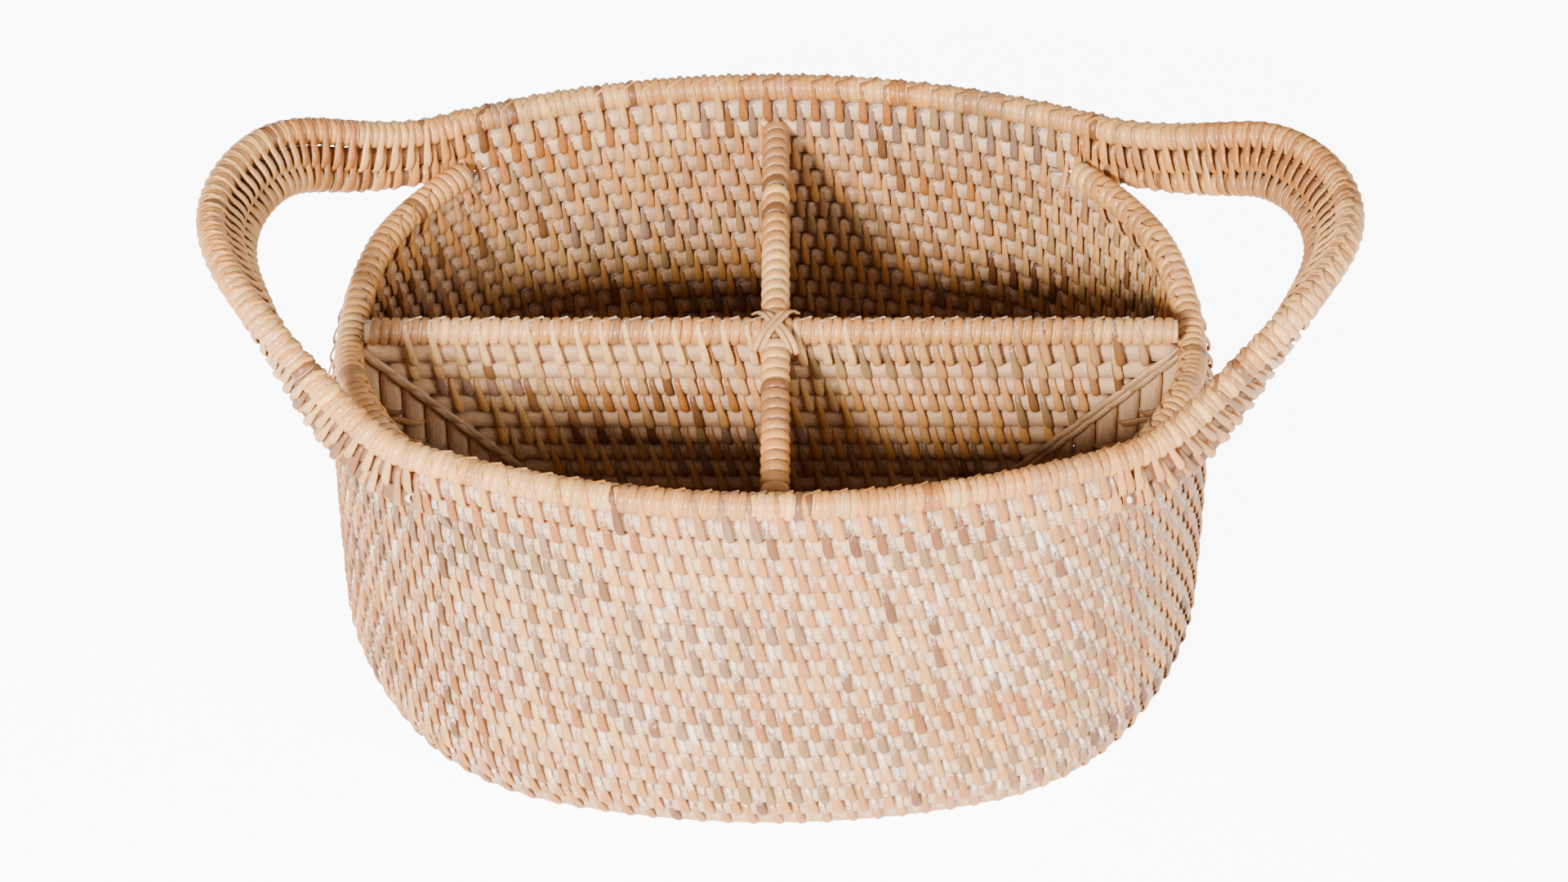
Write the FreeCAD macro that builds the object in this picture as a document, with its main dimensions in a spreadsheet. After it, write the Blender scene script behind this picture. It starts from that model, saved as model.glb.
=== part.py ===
import FreeCAD, Part
import Sketcher
import math
import os

# A divided oval basket of coiled rattan. The wall is a stack of rod courses, the top three
# courses swing out at both ends as the handles, and three woven panels make four compartments.
# Frame: origin at the middle of the underside, +X along the length, +Y to the back, +Z up.

os.makedirs("parts", exist_ok=True)
doc = FreeCAD.newDocument("oval_basket")

SIZES = [
    # plan of the wall, along the middle of its thickness
    ("WallHalfLength", 146.0),
    ("WallHalfDepth", 113.7),
    ("CornerRadius", 60.0),
    ("CornerInsetLength", 79.97),
    ("CornerInsetDepth", 69.91),
    ("FootCornerRadius", 88.0),
    # courses of the wall
    ("CourseHeight", 7.36),
    ("WallThickness", 8.2),
    ("FootInset", 5.0),
    ("SecondInset", 1.5),
    # band of three rods that becomes the handles
    ("RimDiameter", 9.6),
    ("BandRodDiameter", 8.1),
    ("LeftReach", 186.0),
    ("LeftCornerRadius", 58.0),
    ("LeftCornerInset", 62.6),
    ("RightReach", 192.5),
    ("RightCornerRadius", 44.0),
    ("RightCornerInset", 53.0),
    ("HandleStart", 117.0),
    ("HandleRise", 34.0),
    ("HandleTilt", 0.14),
    ("HandleFlare", 33.0),
    # wrapped edge of the wall below each handle
    ("SideRimDiameter", 9.4),
    ("SideRimInset", 2.2),
    ("SideRimDip", 9.0),
    ("SideRimDipReach", 50.0),
    ("SideRimEnd", 74.0),
    # dividers
    ("DividerThickness", 7.0),
    ("DividerRimDiameter", 9.6),
    ("DividerHeight", 133.8),
    ("CrossDividerOffset", -4.0),
    ("LongDividerOffset", 1.5),
    ("DividerCornerCut", 9.0),
    ("LashingLength", 17.0),
    ("LashingWidth", 3.0),
    ("LashingThickness", 1.0),
    ("LashingAngle", 38.0),
    ("FitClearance", 0.3),
]
COURSES = 17
TAPERED_COURSES = 11
PARTED_COURSE = COURSES
DIPPED_COURSES = (COURSES - 1, COURSES)
QUARTER_STATIONS = 15
SIDE_STATIONS = 12
CUTTER_SHARE = 0.99  # the cutter stops just short of the dip's level ends

sheet = doc.addObject("Spreadsheet::Sheet", "Sizes")
for row, (alias, value) in enumerate(SIZES, start=1):
    sheet.set(f"A{row}", alias)
    sheet.set(f"B{row}", str(value))
    sheet.setAlias(f"B{row}", alias)
doc.recompute()

size = {alias: sheet.get(alias) for alias, _ in SIZES}
half_wall = size["WallThickness"] / 2
wall_top = COURSES * size["CourseHeight"]
rim_centre_z = wall_top + 2 * size["BandRodDiameter"] + size["RimDiameter"] / 2
nodes = []


def vector(x, y, z=0.0):
    return FreeCAD.Vector(x, y, z)


def corner_centre(half_length, half_depth, front_radius, side_radius, corner_radius):
    """Centre of the corner arc that runs tangent into the front arc and the side arc."""
    front = vector(0, half_depth - front_radius)
    side = vector(half_length - side_radius, 0)
    to_front = front_radius - corner_radius
    to_side = side_radius - corner_radius
    apart = side.sub(front)
    distance = apart.Length
    along = (to_front**2 - to_side**2 + distance**2) / (2 * distance)
    across = math.sqrt(to_front**2 - along**2)
    unit = apart * (1 / distance)
    return front + unit * along + vector(unit.y, -unit.x) * across


def arc_through(reach, corner_radius, along, across):
    """Radius of an arc about its own axis that ends at reach and runs into the corner arc."""
    inner = reach - corner_radius
    centre = (inner**2 - along**2 - across**2) / (2 * (inner - along))
    return reach - centre


def wall_arcs():
    """Radii of the wall's front and side arcs, from the place of its corner arcs."""
    corner_x = size["WallHalfLength"] - size["CornerInsetLength"]
    corner_y = size["WallHalfDepth"] - size["CornerInsetDepth"]
    corner_radius = size["CornerRadius"]
    front = arc_through(size["WallHalfDepth"], corner_radius, corner_y, corner_x)
    side = arc_through(size["WallHalfLength"], corner_radius, corner_x, corner_y)
    return front, side


def handle_plan(side):
    """Plan of the rim over one handle: it leaves the wall's front arc and turns at the end."""
    reach = size[f"{side}Reach"]
    corner_radius = size[f"{side}CornerRadius"]
    corner_x = reach - size[f"{side}CornerInset"]
    front_radius = wall_arcs()[0]
    to_corner = math.sqrt((front_radius - corner_radius) ** 2 - corner_x**2)
    corner_y = size["WallHalfDepth"] - front_radius + to_corner
    end_radius = arc_through(reach, corner_radius, corner_x, corner_y)
    return reach, size["WallHalfDepth"], front_radius, end_radius, corner_radius


def quarter_arcs(plan, offset):
    """Side, corner and front arc of one quarter: centre, radius, start and end angle."""
    half_length, half_depth, front_radius, side_radius, corner_radius = plan
    corner = corner_centre(*plan)
    front = vector(0, half_depth - front_radius)
    side = vector(half_length - side_radius, 0)
    turn_side = math.atan2(corner.y - side.y, corner.x - side.x)
    turn_front = math.atan2(corner.y - front.y, corner.x - front.x)
    return [
        (side, side_radius + offset, 0.0, turn_side),
        (corner, corner_radius + offset, turn_side, turn_front),
        (front, front_radius + offset, turn_front, math.pi / 2),
    ]


def quarter_edges(plan, offset, z, sign_x=1, sign_y=1):
    edges = []
    for centre, radius, start, end in quarter_arcs(plan, offset):
        points = []
        for angle in (start, (start + end) / 2, end):
            x = centre.x + radius * math.cos(angle)
            y = centre.y + radius * math.sin(angle)
            points.append(vector(sign_x * x, sign_y * y, z))
        edges.append(Part.Arc(*points).toShape())
    return edges


def oval_wire(plan, offset, z):
    """Closed outline of twelve tangent arcs, moved outwards by offset, at height z."""
    edges = []
    for sign_x, sign_y in ((1, 1), (-1, 1), (-1, -1), (1, -1)):
        edges += quarter_edges(plan, offset, z, sign_x, sign_y)
    return Part.Wire(Part.__sortEdges__(edges))


def half_oval_points(plan, z, per_quarter):
    """Evenly spaced points from the middle of the front round +X to the middle of the back."""
    quarter = Part.Wire(quarter_edges(plan, 0.0, z)).discretize(Number=per_quarter + 1)
    front = [vector(point.x, -point.y, z) for point in reversed(quarter[1:])]
    return front + quarter


def smooth(value):
    value = min(1.0, max(0.0, value))
    return value * value * (3 - 2 * value)


def keep(item, label):
    item.Label = label
    nodes.append(item)
    return item


def wall_plan(course):
    """Plan of one course: the low courses have rounder corners and draw in at the foot."""
    low = max(0, TAPERED_COURSES - course + 1) / TAPERED_COURSES
    corner = size["CornerRadius"] + (size["FootCornerRadius"] - size["CornerRadius"]) * low
    return size["WallHalfLength"], size["WallHalfDepth"], *wall_arcs(), corner


def course_inset(course):
    return {1: size["FootInset"], 2: size["SecondInset"]}.get(course, 0.0)


def course_ring(course):
    """One coiled rod of the wall as a flat ring."""
    plan = wall_plan(course)
    inset = course_inset(course)
    outline = doc.addObject("Part::Feature", f"CoursePlan{course:02d}")
    outer = oval_wire(plan, half_wall - inset, 0.0)
    inner = oval_wire(plan, -half_wall - inset, 0.0)
    outline.Shape = Part.makeFace([outer, inner], "Part::FaceMakerBullseye")
    ring = doc.addObject("Part::Extrusion", f"CourseRing{course:02d}")
    ring.Base = outline
    ring.Dir = vector(0, 0, 1)
    ring.Solid = True
    ring.setExpression("LengthFwd", "Sizes.CourseHeight")
    ring.setExpression("Placement.Base.z", f"{course - 1} * Sizes.CourseHeight")
    return ring


def side_rim_height(y):
    """Height of the middle of the side rim at depth y: it dips between the handle roots."""
    level = wall_top + size["SideRimDiameter"] / 2
    return level - size["SideRimDip"] * (1 - smooth(abs(y) / size["SideRimDipReach"]))


def dip_cutter():
    """Solid above the underside of the side rims, which trims the top wall courses."""
    reach = size["SideRimDipReach"] * CUTTER_SHARE
    half = size["SideRimDiameter"] / 2
    underside = []
    for step in range(-SIDE_STATIONS, SIDE_STATIONS + 1):
        y = reach * step / SIDE_STATIONS
        underside.append(vector(0, y, side_rim_height(y) - half))
    curve = Part.BSplineCurve()
    curve.interpolate(Points=underside)
    top = wall_top + size["SideRimDiameter"]
    corners = [underside[-1], vector(0, reach, top), vector(0, -reach, top), underside[0]]
    edges = [curve.toShape()]
    for start, end in zip(corners[:-1], corners[1:]):
        edges.append(Part.LineSegment(start, end).toShape())
    outline = Part.Face(Part.Wire(edges))
    length = 2 * size["WallHalfLength"]
    outline.translate(vector(-length, 0, 0))
    cutter = doc.addObject("Part::Feature", "DipCutter")
    cutter.Shape = outline.extrude(vector(2 * length, 0, 0))
    return cutter


def half_space(name, side):
    """Box over the front (side -1) or the back (side 1) half of the basket."""
    box = doc.addObject("Part::Box", name)
    box.setExpression("Length", "4 * Sizes.WallHalfLength")
    box.setExpression("Width", "2 * Sizes.WallHalfDepth")
    box.setExpression("Height", "4 * Sizes.WallHalfDepth")
    box.setExpression("Placement.Base.x", "-2 * Sizes.WallHalfLength")
    if side < 0:
        box.setExpression("Placement.Base.y", "-2 * Sizes.WallHalfDepth")
    return box


def trimmed(base, tool, name, kind):
    result = doc.addObject(kind, name)
    result.Base = base
    result.Tool = tool
    return result


def build_wall():
    cutter = dip_cutter()
    for course in range(1, COURSES + 1):
        ring = course_ring(course)
        if course not in DIPPED_COURSES:
            keep(ring, f"wall_course_{course:02d}")
            continue
        dipped = trimmed(ring, cutter, f"Dipped{course:02d}", "Part::Cut")
        if course != PARTED_COURSE:
            keep(dipped, f"wall_course_{course:02d}")
            continue
        for label, side in (("front", -1), ("back", 1)):
            half = half_space(f"Half{label}", side)
            piece = trimmed(dipped, half, f"Course{course}{label}", "Part::Common")
            keep(piece, f"wall_course_{course:02d}_{label}")


def build_base():
    """Flat oval mat of the bottom, inside the lowest course."""
    outline = doc.addObject("Part::Feature", "BasePlan")
    outline.Shape = Part.Face(oval_wire(wall_plan(1), -half_wall - size["FootInset"], 0.0))
    mat = doc.addObject("Part::Extrusion", "BaseMat")
    mat.Base = outline
    mat.Dir = vector(0, 0, 1)
    mat.Solid = True
    mat.setExpression("LengthFwd", "Sizes.CourseHeight")
    keep(mat, "base_mat")


def handle_path(side, depth):
    """Middle of a band rod over one handle, depth below the rim rod in the flared band."""
    plan = handle_plan(side)
    span = plan[0] - size["HandleStart"]
    points = half_oval_points(plan, rim_centre_z, QUARTER_STATIONS)
    shares = [smooth((point.x - size["HandleStart"]) / span) for point in points]
    rises = [size["HandleRise"] - size["HandleTilt"] * point.y for point in points]
    stations = [point + vector(0, 0, rise * out) for point, rise, out in zip(points, rises, shares)]
    ways = path_tangents(stations, vector(1, 0, 0))
    path = []
    for point, out, tangent in zip(stations, shares, ways):
        outward = tangent.cross(vector(0, 0, 1)).normalize()
        flare = math.radians(size["HandleFlare"]) * out
        down = outward * -math.sin(flare) + vector(0, 0, -math.cos(flare))
        down = down.sub(tangent * down.dot(tangent)).normalize()
        path.append(point + down * depth)
    if side == "Left":
        path = [vector(-point.x, point.y, point.z) for point in path]
    return path


def path_tangents(points, start):
    """Directions along a half loop, which starts and ends square to the YZ plane."""
    middle = [ahead.sub(behind).normalize() for behind, ahead in zip(points, points[2:])]
    return [start] + middle + [start * -1]


def lofted_rod(name, points, tangents, diameter):
    """Round rod along the points, from one circle square to the path at each of them."""
    upward = vector(0, 0, 1)
    circle = Part.Wire(Part.Circle(vector(0, 0), upward, diameter / 2).toShape())
    sections = []
    for point, tangent in zip(points, tangents):
        turn = FreeCAD.Rotation(upward, tangent.cross(upward), tangent, "ZXY")
        section = circle.copy()
        section.Placement = FreeCAD.Placement(point, turn)
        sections.append(section)
    rod = doc.addObject("Part::Feature", name)
    rod.Shape = Part.makeLoft(sections, True, False)
    return rod


def build_band():
    """Rim rod and the two rods below it: each runs round the front, handles and back."""
    rim = size["RimDiameter"] / 2
    pitch = size["BandRodDiameter"]
    rods = [
        ("top_rim", 0.0, size["RimDiameter"]),
        ("band_rod_upper", rim + pitch / 2, pitch),
        ("band_rod_lower", rim + pitch * 3 / 2, pitch),
    ]
    for label, depth, diameter in rods:
        halves = []
        for side, turn in (("Left", -1), ("Right", 1)):
            points = handle_path(side, depth)
            tangents = path_tangents(points, vector(turn, 0, 0))
            halves.append(lofted_rod(f"{side}{label}", points, tangents, diameter))
        keep(trimmed(halves[0], halves[1], f"Loop{label}", "Part::Fuse"), label)


def wall_x(y, inset):
    """Distance of the wall's middle from the YZ plane at depth y, on the side and corner arcs."""
    side, corner, _ = quarter_arcs(wall_plan(COURSES), -inset)
    turn_y = side[1] * math.sin(side[3])
    centre, radius = (side[0], side[1]) if abs(y) <= turn_y else (corner[0], corner[1])
    return centre.x + math.sqrt(radius**2 - (abs(y) - centre.y) ** 2)


def build_side_rims():
    """Thick wrapped rod on the edge of the wall below each handle."""
    for label, side in (("left", -1), ("right", 1)):
        points = []
        for step in range(-SIDE_STATIONS, SIDE_STATIONS + 1):
            y = size["SideRimEnd"] * step / SIDE_STATIONS
            x = side * wall_x(y, size["SideRimInset"])
            points.append(vector(x, y, side_rim_height(y)))
        ahead = points[1:] + points[-1:]
        behind = points[:1] + points[:-1]
        tangents = [end.sub(start) for start, end in zip(behind, ahead)]
        rod = lofted_rod(f"SideRim{label}", points, tangents, size["SideRimDiameter"])
        keep(rod, f"side_rim_{label}")


def sketched_panel(name, corners, across, upright):
    """Body with a padded outline: corners are pairs of expressions, across is the middle plane."""
    body = doc.addObject("PartDesign::Body", name)
    plane = next(item for item in body.Origin.OriginFeatures if item.Role == upright)
    sketch = body.newObject("Sketcher::SketchObject", f"{name}Outline")
    sketch.AttachmentSupport = [(plane, "")]
    sketch.MapMode = "FlatFace"
    values = [[evaluate(pair[0]), evaluate(pair[1])] for pair in corners]
    count = len(values)
    for number, start in enumerate(values):
        end = values[(number + 1) % count]
        line = Part.LineSegment(vector(*start), vector(*end))
        sketch.addGeometry(line, False)
    for number in range(count):
        after = (number + 1) % count
        sketch.addConstraint(Sketcher.Constraint("Coincident", number, 2, after, 1))
    for number, (across_x, across_y) in enumerate(corners):
        for kind, text, value in (
            ("DistanceX", across_x, values[number][0]),
            ("DistanceY", across_y, values[number][1]),
        ):
            index = sketch.addConstraint(Sketcher.Constraint(kind, -1, 1, number, 1, value))
            sketch.setExpression(f"Constraints[{index}]", text)
    pad = body.newObject("PartDesign::Pad", f"{name}Pad")
    pad.Profile = sketch
    pad.Midplane = True
    pad.setExpression("Length", "Sizes.DividerThickness")
    sketch.Visibility = False
    body.setExpression("Placement.Base." + across[0], across[1])
    return body


def evaluate(text):
    """Value of an expression in the sheet's sizes, for a sketch's first drawing."""
    holder = doc.getObject("Trial") or doc.addObject("App::FeaturePython", "Trial")
    if "Result" not in holder.PropertiesList:
        holder.addProperty("App::PropertyFloat", "Result")
    holder.setExpression("Result", text)
    holder.recompute()
    return holder.Result


def rod_between(name, length, turn, centre_expressions):
    """Straight wrapped rod on top of a divider, with softened ends."""
    rod = doc.addObject("Part::Cylinder", name)
    rod.setExpression("Radius", "Sizes.DividerRimDiameter / 2")
    rod.setExpression("Height", length)
    rod.Placement = FreeCAD.Placement(vector(0, 0), turn)
    for axis, text in zip("xyz", centre_expressions):
        rod.setExpression(f"Placement.Base.{axis}", text)
    return rod


def build_dividers():
    floor = "Sizes.CourseHeight"
    top = "(Sizes.DividerHeight - Sizes.DividerRimDiameter)"
    centre = "Sizes.DividerHeight - Sizes.DividerRimDiameter / 2"
    step = "2 * Sizes.CourseHeight"
    foot = "Sizes.SecondInset"

    # cross panel, from side to side
    side = "(Sizes.WallHalfLength - Sizes.WallThickness / 2 - Sizes.FitClearance)"
    cut = "Sizes.DividerCornerCut"
    right = [
        (f"{side} - {foot}", floor),
        (f"{side} - {foot}", step),
        (side, step),
        (side, f"{top} - 1.3 * {cut}"),
        (f"{side} - {cut}", top),
    ]
    left = [(f"-({x})", y) for x, y in reversed(right)]
    panel = sketched_panel("CrossPanel", right + left, ("y", "Sizes.CrossDividerOffset"), "XZ_Plane")
    keep(panel, "cross_divider")
    turn = FreeCAD.Rotation(vector(0, 1, 0), 90)
    reach = f"({side} - {cut})"
    place = (f"-{reach}", "Sizes.CrossDividerOffset", centre)
    rod = rod_between("CrossRod", f"2 * {reach}", turn, place)
    keep(rod, "cross_divider_rim")

    # two panels from the cross panel to the front and to the back
    wall = "(Sizes.WallHalfDepth - Sizes.WallThickness / 2 - Sizes.FitClearance)"
    for label, sign in (("front", "-1"), ("back", "1")):
        inner = f"(Sizes.CrossDividerOffset + {sign} * Sizes.DividerThickness / 2)"
        outline = [
            (inner, floor),
            (f"{sign} * ({wall} - {foot})", floor),
            (f"{sign} * ({wall} - {foot})", step),
            (f"{sign} * {wall}", step),
            (f"{sign} * {wall}", top),
            (inner, top),
        ]
        panel = sketched_panel(
            f"{label}Panel", outline, ("x", "Sizes.LongDividerOffset"), "YZ_Plane"
        )
        keep(panel, f"{label}_divider")
        turn = FreeCAD.Rotation(vector(1, 0, 0), -90 * int(sign))
        begin = f"(Sizes.CrossDividerOffset + {sign} * Sizes.DividerRimDiameter / 2)"
        length = f"{wall} - {sign} * {begin}"
        place = ("Sizes.LongDividerOffset", begin, centre)
        rod = rod_between(f"{label}Rod", length, turn, place)
        keep(rod, f"{label}_divider_rim")


def build_lashing():
    """Two crossed cane straps tied over the middle of the dividers."""
    straps = []
    for number, sign in enumerate((-1, 1)):
        strap = doc.addObject("Part::Box", f"Strap{number}")
        strap.setExpression("Length", "Sizes.LashingLength")
        strap.setExpression("Width", "Sizes.LashingWidth")
        strap.setExpression("Height", "Sizes.LashingThickness")
        angle = 90 + sign * size["LashingAngle"]
        turn = FreeCAD.Rotation(vector(0, 0, 1), angle)
        corner = turn.multVec(vector(-size["LashingLength"] / 2, -size["LashingWidth"] / 2))
        middle = vector(size["LongDividerOffset"], size["CrossDividerOffset"], size["DividerHeight"])
        strap.Placement = FreeCAD.Placement(middle + corner, turn)
        straps.append(strap)
    knot = trimmed(straps[0], straps[1], "CrossLashing", "Part::Fuse")
    keep(knot, "cross_lashing")


build_wall()
build_base()
build_band()
build_side_rims()
build_dividers()
build_lashing()
doc.recompute()

for item in doc.Objects:
    if "Invalid" in item.State or "Error" in item.State:
        raise RuntimeError(f"{item.Label} did not build: {item.State}")
for item in nodes:
    shape = item.Shape
    if shape.isNull() or not shape.isValid() or not shape.Solids:
        raise RuntimeError(f"{item.Label} is not a valid solid")
    shape.exportStep(f"parts/{item.Label}.step")
    box = shape.BoundBox
    print(item.Label, len(shape.Solids), round(shape.Volume), box)
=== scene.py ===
import math
import bpy
import numpy as np
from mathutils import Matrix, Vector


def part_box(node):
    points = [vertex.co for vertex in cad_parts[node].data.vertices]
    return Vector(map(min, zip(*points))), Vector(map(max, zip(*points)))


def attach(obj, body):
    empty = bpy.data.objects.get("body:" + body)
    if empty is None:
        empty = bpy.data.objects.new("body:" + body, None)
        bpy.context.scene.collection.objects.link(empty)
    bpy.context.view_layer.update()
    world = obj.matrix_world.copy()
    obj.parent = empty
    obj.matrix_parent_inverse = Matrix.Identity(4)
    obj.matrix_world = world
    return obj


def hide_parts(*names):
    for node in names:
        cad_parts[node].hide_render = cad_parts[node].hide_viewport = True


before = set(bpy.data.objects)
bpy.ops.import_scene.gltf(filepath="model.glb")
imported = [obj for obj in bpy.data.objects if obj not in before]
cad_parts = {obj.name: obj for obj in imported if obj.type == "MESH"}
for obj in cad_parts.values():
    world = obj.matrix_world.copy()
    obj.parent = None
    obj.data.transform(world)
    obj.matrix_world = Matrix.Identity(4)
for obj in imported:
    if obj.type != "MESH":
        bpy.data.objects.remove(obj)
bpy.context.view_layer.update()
rng = np.random.default_rng(11)

# ---------------------------------------------------------------- sizes, in metres
COURSES = 17
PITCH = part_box("wall_course_05")[1].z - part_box("wall_course_05")[0].z
WALL_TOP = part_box("wall_course_16")[0].z + 2 * PITCH
WALL_THICKNESS = 0.0082
HALF_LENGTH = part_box("wall_course_05")[1].x - WALL_THICKNESS / 2
HALF_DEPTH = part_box("wall_course_05")[1].y - WALL_THICKNESS / 2
CORNER_RADIUS = 0.060
CORNER_X = HALF_LENGTH - 0.07997
CORNER_Y = HALF_DEPTH - 0.06991
FOOT_CORNER_RADIUS = 0.088
ROUNDED_COURSES = 11
FOOT_INSETS = {1: 0.0045, 2: 0.0016}
WALL_SWELL = 0.0010
RIM_RADIUS = 0.0048
BAND_PITCH = 0.0081
# each handle: its reach, the radius of its corners and how far in their centres are
LEFT_HANDLE = (0.186, 0.058, 0.0626)
RIGHT_HANDLE = (0.1925, 0.044, 0.0530)
HANDLE_START = 0.117
HANDLE_RISE = 0.034
HANDLE_TILT = 0.14
HANDLE_FLARE = math.radians(33)
BAND_LEAVES = 0.112
RIM_Z = WALL_TOP + 2 * BAND_PITCH + RIM_RADIUS
SIDE_RIM_RADIUS = 0.0047
SIDE_DIP = 0.009
SIDE_DIP_REACH = 0.050
SIDE_RIM_END = 0.0850
SIDE_RIM_INSET = 0.0022
SIDE_START = 0.11
SQUEEZED_COURSES = 4
FIRST_SQUEEZED = COURSES - SQUEEZED_COURSES + 1
SQUEEZE_FROM = (FIRST_SQUEEZED - 1) * PITCH
CROSS_Y = (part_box("cross_divider")[0].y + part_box("cross_divider")[1].y) / 2
LONG_X = (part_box("front_divider")[0].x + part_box("front_divider")[1].x) / 2
DIVIDER_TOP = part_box("cross_divider_rim")[1].z
DIVIDER_RADIUS = 0.0048
STITCHES = 97
LEAN = 0.0018
ROW_SHIFT = 0.0052
UP = np.array([0.0, 0.0, 1.0])


# ---------------------------------------------------------------- paths
class Lane:
    """A path with an outward and an upward direction at every point, found by distance."""

    def __init__(self, points, outward, upward=UP, closed=True):
        outward = np.broadcast_to(outward, points.shape)
        upward = np.broadcast_to(upward, points.shape)
        if closed:
            points = np.vstack([points, points[:1]])
            outward = np.vstack([outward, outward[:1]])
            upward = np.vstack([upward, upward[:1]])
        steps = np.linalg.norm(np.diff(points, axis=0), axis=1)
        self.distance = np.concatenate([[0.0], np.cumsum(steps)])
        self.length = self.distance[-1]
        self.closed = closed
        self.columns = (points, outward, upward)

    def at(self, distance):
        distance = np.asarray(distance, float)
        if self.closed:
            distance = np.mod(distance, self.length)
        found = []
        for column in self.columns:
            parts = [np.interp(distance, self.distance, column[:, axis]) for axis in range(3)]
            found.append(np.stack(parts, -1))
        return found


def smooth(value):
    value = np.clip(value, 0.0, 1.0)
    return value * value * (3 - 2 * value)


def unit(vectors):
    return vectors / np.maximum(np.linalg.norm(vectors, axis=-1, keepdims=True), 1e-12)


def oval(plan, offset=0.0, count=160):
    """Points and outward normals once round, from the middle of the front towards +X."""
    half_length, half_depth, front_radius, side_radius, corner_radius = plan
    front = np.array([0.0, half_depth - front_radius])
    side = np.array([half_length - side_radius, 0.0])
    to_front = front_radius - corner_radius
    to_side = side_radius - corner_radius
    apart = side - front
    distance = np.linalg.norm(apart)
    along = (to_front**2 - to_side**2 + distance**2) / (2 * distance)
    across = math.sqrt(to_front**2 - along**2)
    ahead = apart / distance
    corner = front + ahead * along + np.array([ahead[1], -ahead[0]]) * across
    turn_side = math.atan2(corner[1] - side[1], corner[0] - side[0])
    turn_front = math.atan2(corner[1] - front[1], corner[0] - front[0])
    points = []
    normals = []
    for centre, radius, start, end in (
        (side, side_radius, 0.0, turn_side),
        (corner, corner_radius, turn_side, turn_front),
        (front, front_radius, turn_front, math.pi / 2),
    ):
        angles = np.linspace(start, end, count, endpoint=False)
        ray = np.stack([np.cos(angles), np.sin(angles)], -1)
        points.append(centre + ray * (radius + offset))
        normals.append(ray)
    points = np.vstack(points + [[[0.0, half_depth + offset]]])
    normals = np.vstack(normals + [[[0.0, 1.0]]])
    flip_x = np.array([-1.0, 1.0])
    flip_y = np.array([1.0, -1.0])
    loops = []
    for values in (points, normals):
        front_right = (values * flip_y)[::-1]
        back_left = (values * flip_x)[::-1]
        front_left = values * flip_x * flip_y
        loops.append(np.vstack([front_right[:-1], values[:-1], back_left[:-1], front_left[:-1]]))
    return loops


def arc_through(reach, corner_radius, along, across):
    """Radius of an arc about its own axis that ends at reach and runs into the corner arc."""
    inner = reach - corner_radius
    centre = (inner**2 - along**2 - across**2) / (2 * (inner - along))
    return reach - centre


FRONT_RADIUS = arc_through(HALF_DEPTH, CORNER_RADIUS, CORNER_Y, CORNER_X)
SIDE_RADIUS = arc_through(HALF_LENGTH, CORNER_RADIUS, CORNER_X, CORNER_Y)


def handle_plan(reach, corner_radius, inset):
    """Plan of the rim over one handle: it leaves the wall's front arc and turns at the end."""
    corner_x = reach - inset
    to_corner = math.sqrt((FRONT_RADIUS - corner_radius) ** 2 - corner_x**2)
    corner_y = HALF_DEPTH - FRONT_RADIUS + to_corner
    end_radius = arc_through(reach, corner_radius, corner_x, corner_y)
    return reach, HALF_DEPTH, FRONT_RADIUS, end_radius, corner_radius


def lift(flat, height):
    return np.column_stack([flat, np.broadcast_to(height, len(flat))])


def side_rim_middle(y):
    """Height of the middle of a side rim, which dips between the handle roots."""
    level = WALL_TOP + SIDE_RIM_RADIUS
    return level - SIDE_DIP * (1 - smooth(np.abs(y) / SIDE_DIP_REACH))


def side_squeeze(spots):
    """Where the side rim presses the top courses together, and to what share of their height."""
    top = side_rim_middle(spots[:, 1]) - SIDE_RIM_RADIUS
    share = (top - SQUEEZE_FROM) / (SQUEEZED_COURSES * PITCH)
    return np.abs(spots[:, 0]) > SIDE_START, share


def wall_lane(course):
    """Middle of one course of the wall; the whole wall swells a little at half height."""
    low = max(0, ROUNDED_COURSES - course + 1) / ROUNDED_COURSES
    corner = CORNER_RADIUS + (FOOT_CORNER_RADIUS - CORNER_RADIUS) * low
    inset = FOOT_INSETS.get(course, 0.0)
    height = (course - 0.5) * PITCH
    swell = WALL_SWELL * math.sin(math.pi * height / WALL_TOP)
    plan = (HALF_LENGTH, HALF_DEPTH, FRONT_RADIUS, SIDE_RADIUS, corner)
    points, normals = oval(plan, swell - inset)
    spots = lift(points, height)
    if course >= FIRST_SQUEEZED:
        at_side, share = side_squeeze(spots)
        squeezed = SQUEEZE_FROM + (height - SQUEEZE_FROM) * share
        spots[:, 2] = np.where(at_side, squeezed, height)
    return Lane(spots, lift(normals, 0.0))


def band_lanes():
    """The three rods of the band: the rim rod and two below it, leaning outwards at the ends."""
    halves = []
    for handle, first in ((RIGHT_HANDLE, True), (LEFT_HANDLE, False)):
        flat = oval(handle_plan(*handle))[0]
        half = len(flat) // 2
        points = flat[:half] if first else flat[half:]
        out = smooth((np.abs(points[:, 0]) - HANDLE_START) / (handle[0] - HANDLE_START))
        halves.append((points, out))
    flat = np.vstack([points for points, _ in halves])
    out = np.concatenate([share for _, share in halves])
    middle = lift(flat, RIM_Z + (HANDLE_RISE - HANDLE_TILT * flat[:, 1]) * out)
    tangent = unit(np.roll(middle, -1, axis=0) - np.roll(middle, 1, axis=0))
    outward = unit(np.cross(tangent, UP))
    flare = (HANDLE_FLARE * out)[:, None]
    down = outward * -np.sin(flare) + np.array([0.0, 0.0, -1.0]) * np.cos(flare)
    down = unit(down - tangent * np.sum(down * tangent, axis=1)[:, None])
    outward = unit(outward - down * np.sum(outward * down, axis=1)[:, None])
    depths = (0.0, RIM_RADIUS + BAND_PITCH / 2, RIM_RADIUS + BAND_PITCH * 1.5)
    return [Lane(middle + down * depth, outward, -down) for depth in depths]


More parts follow.
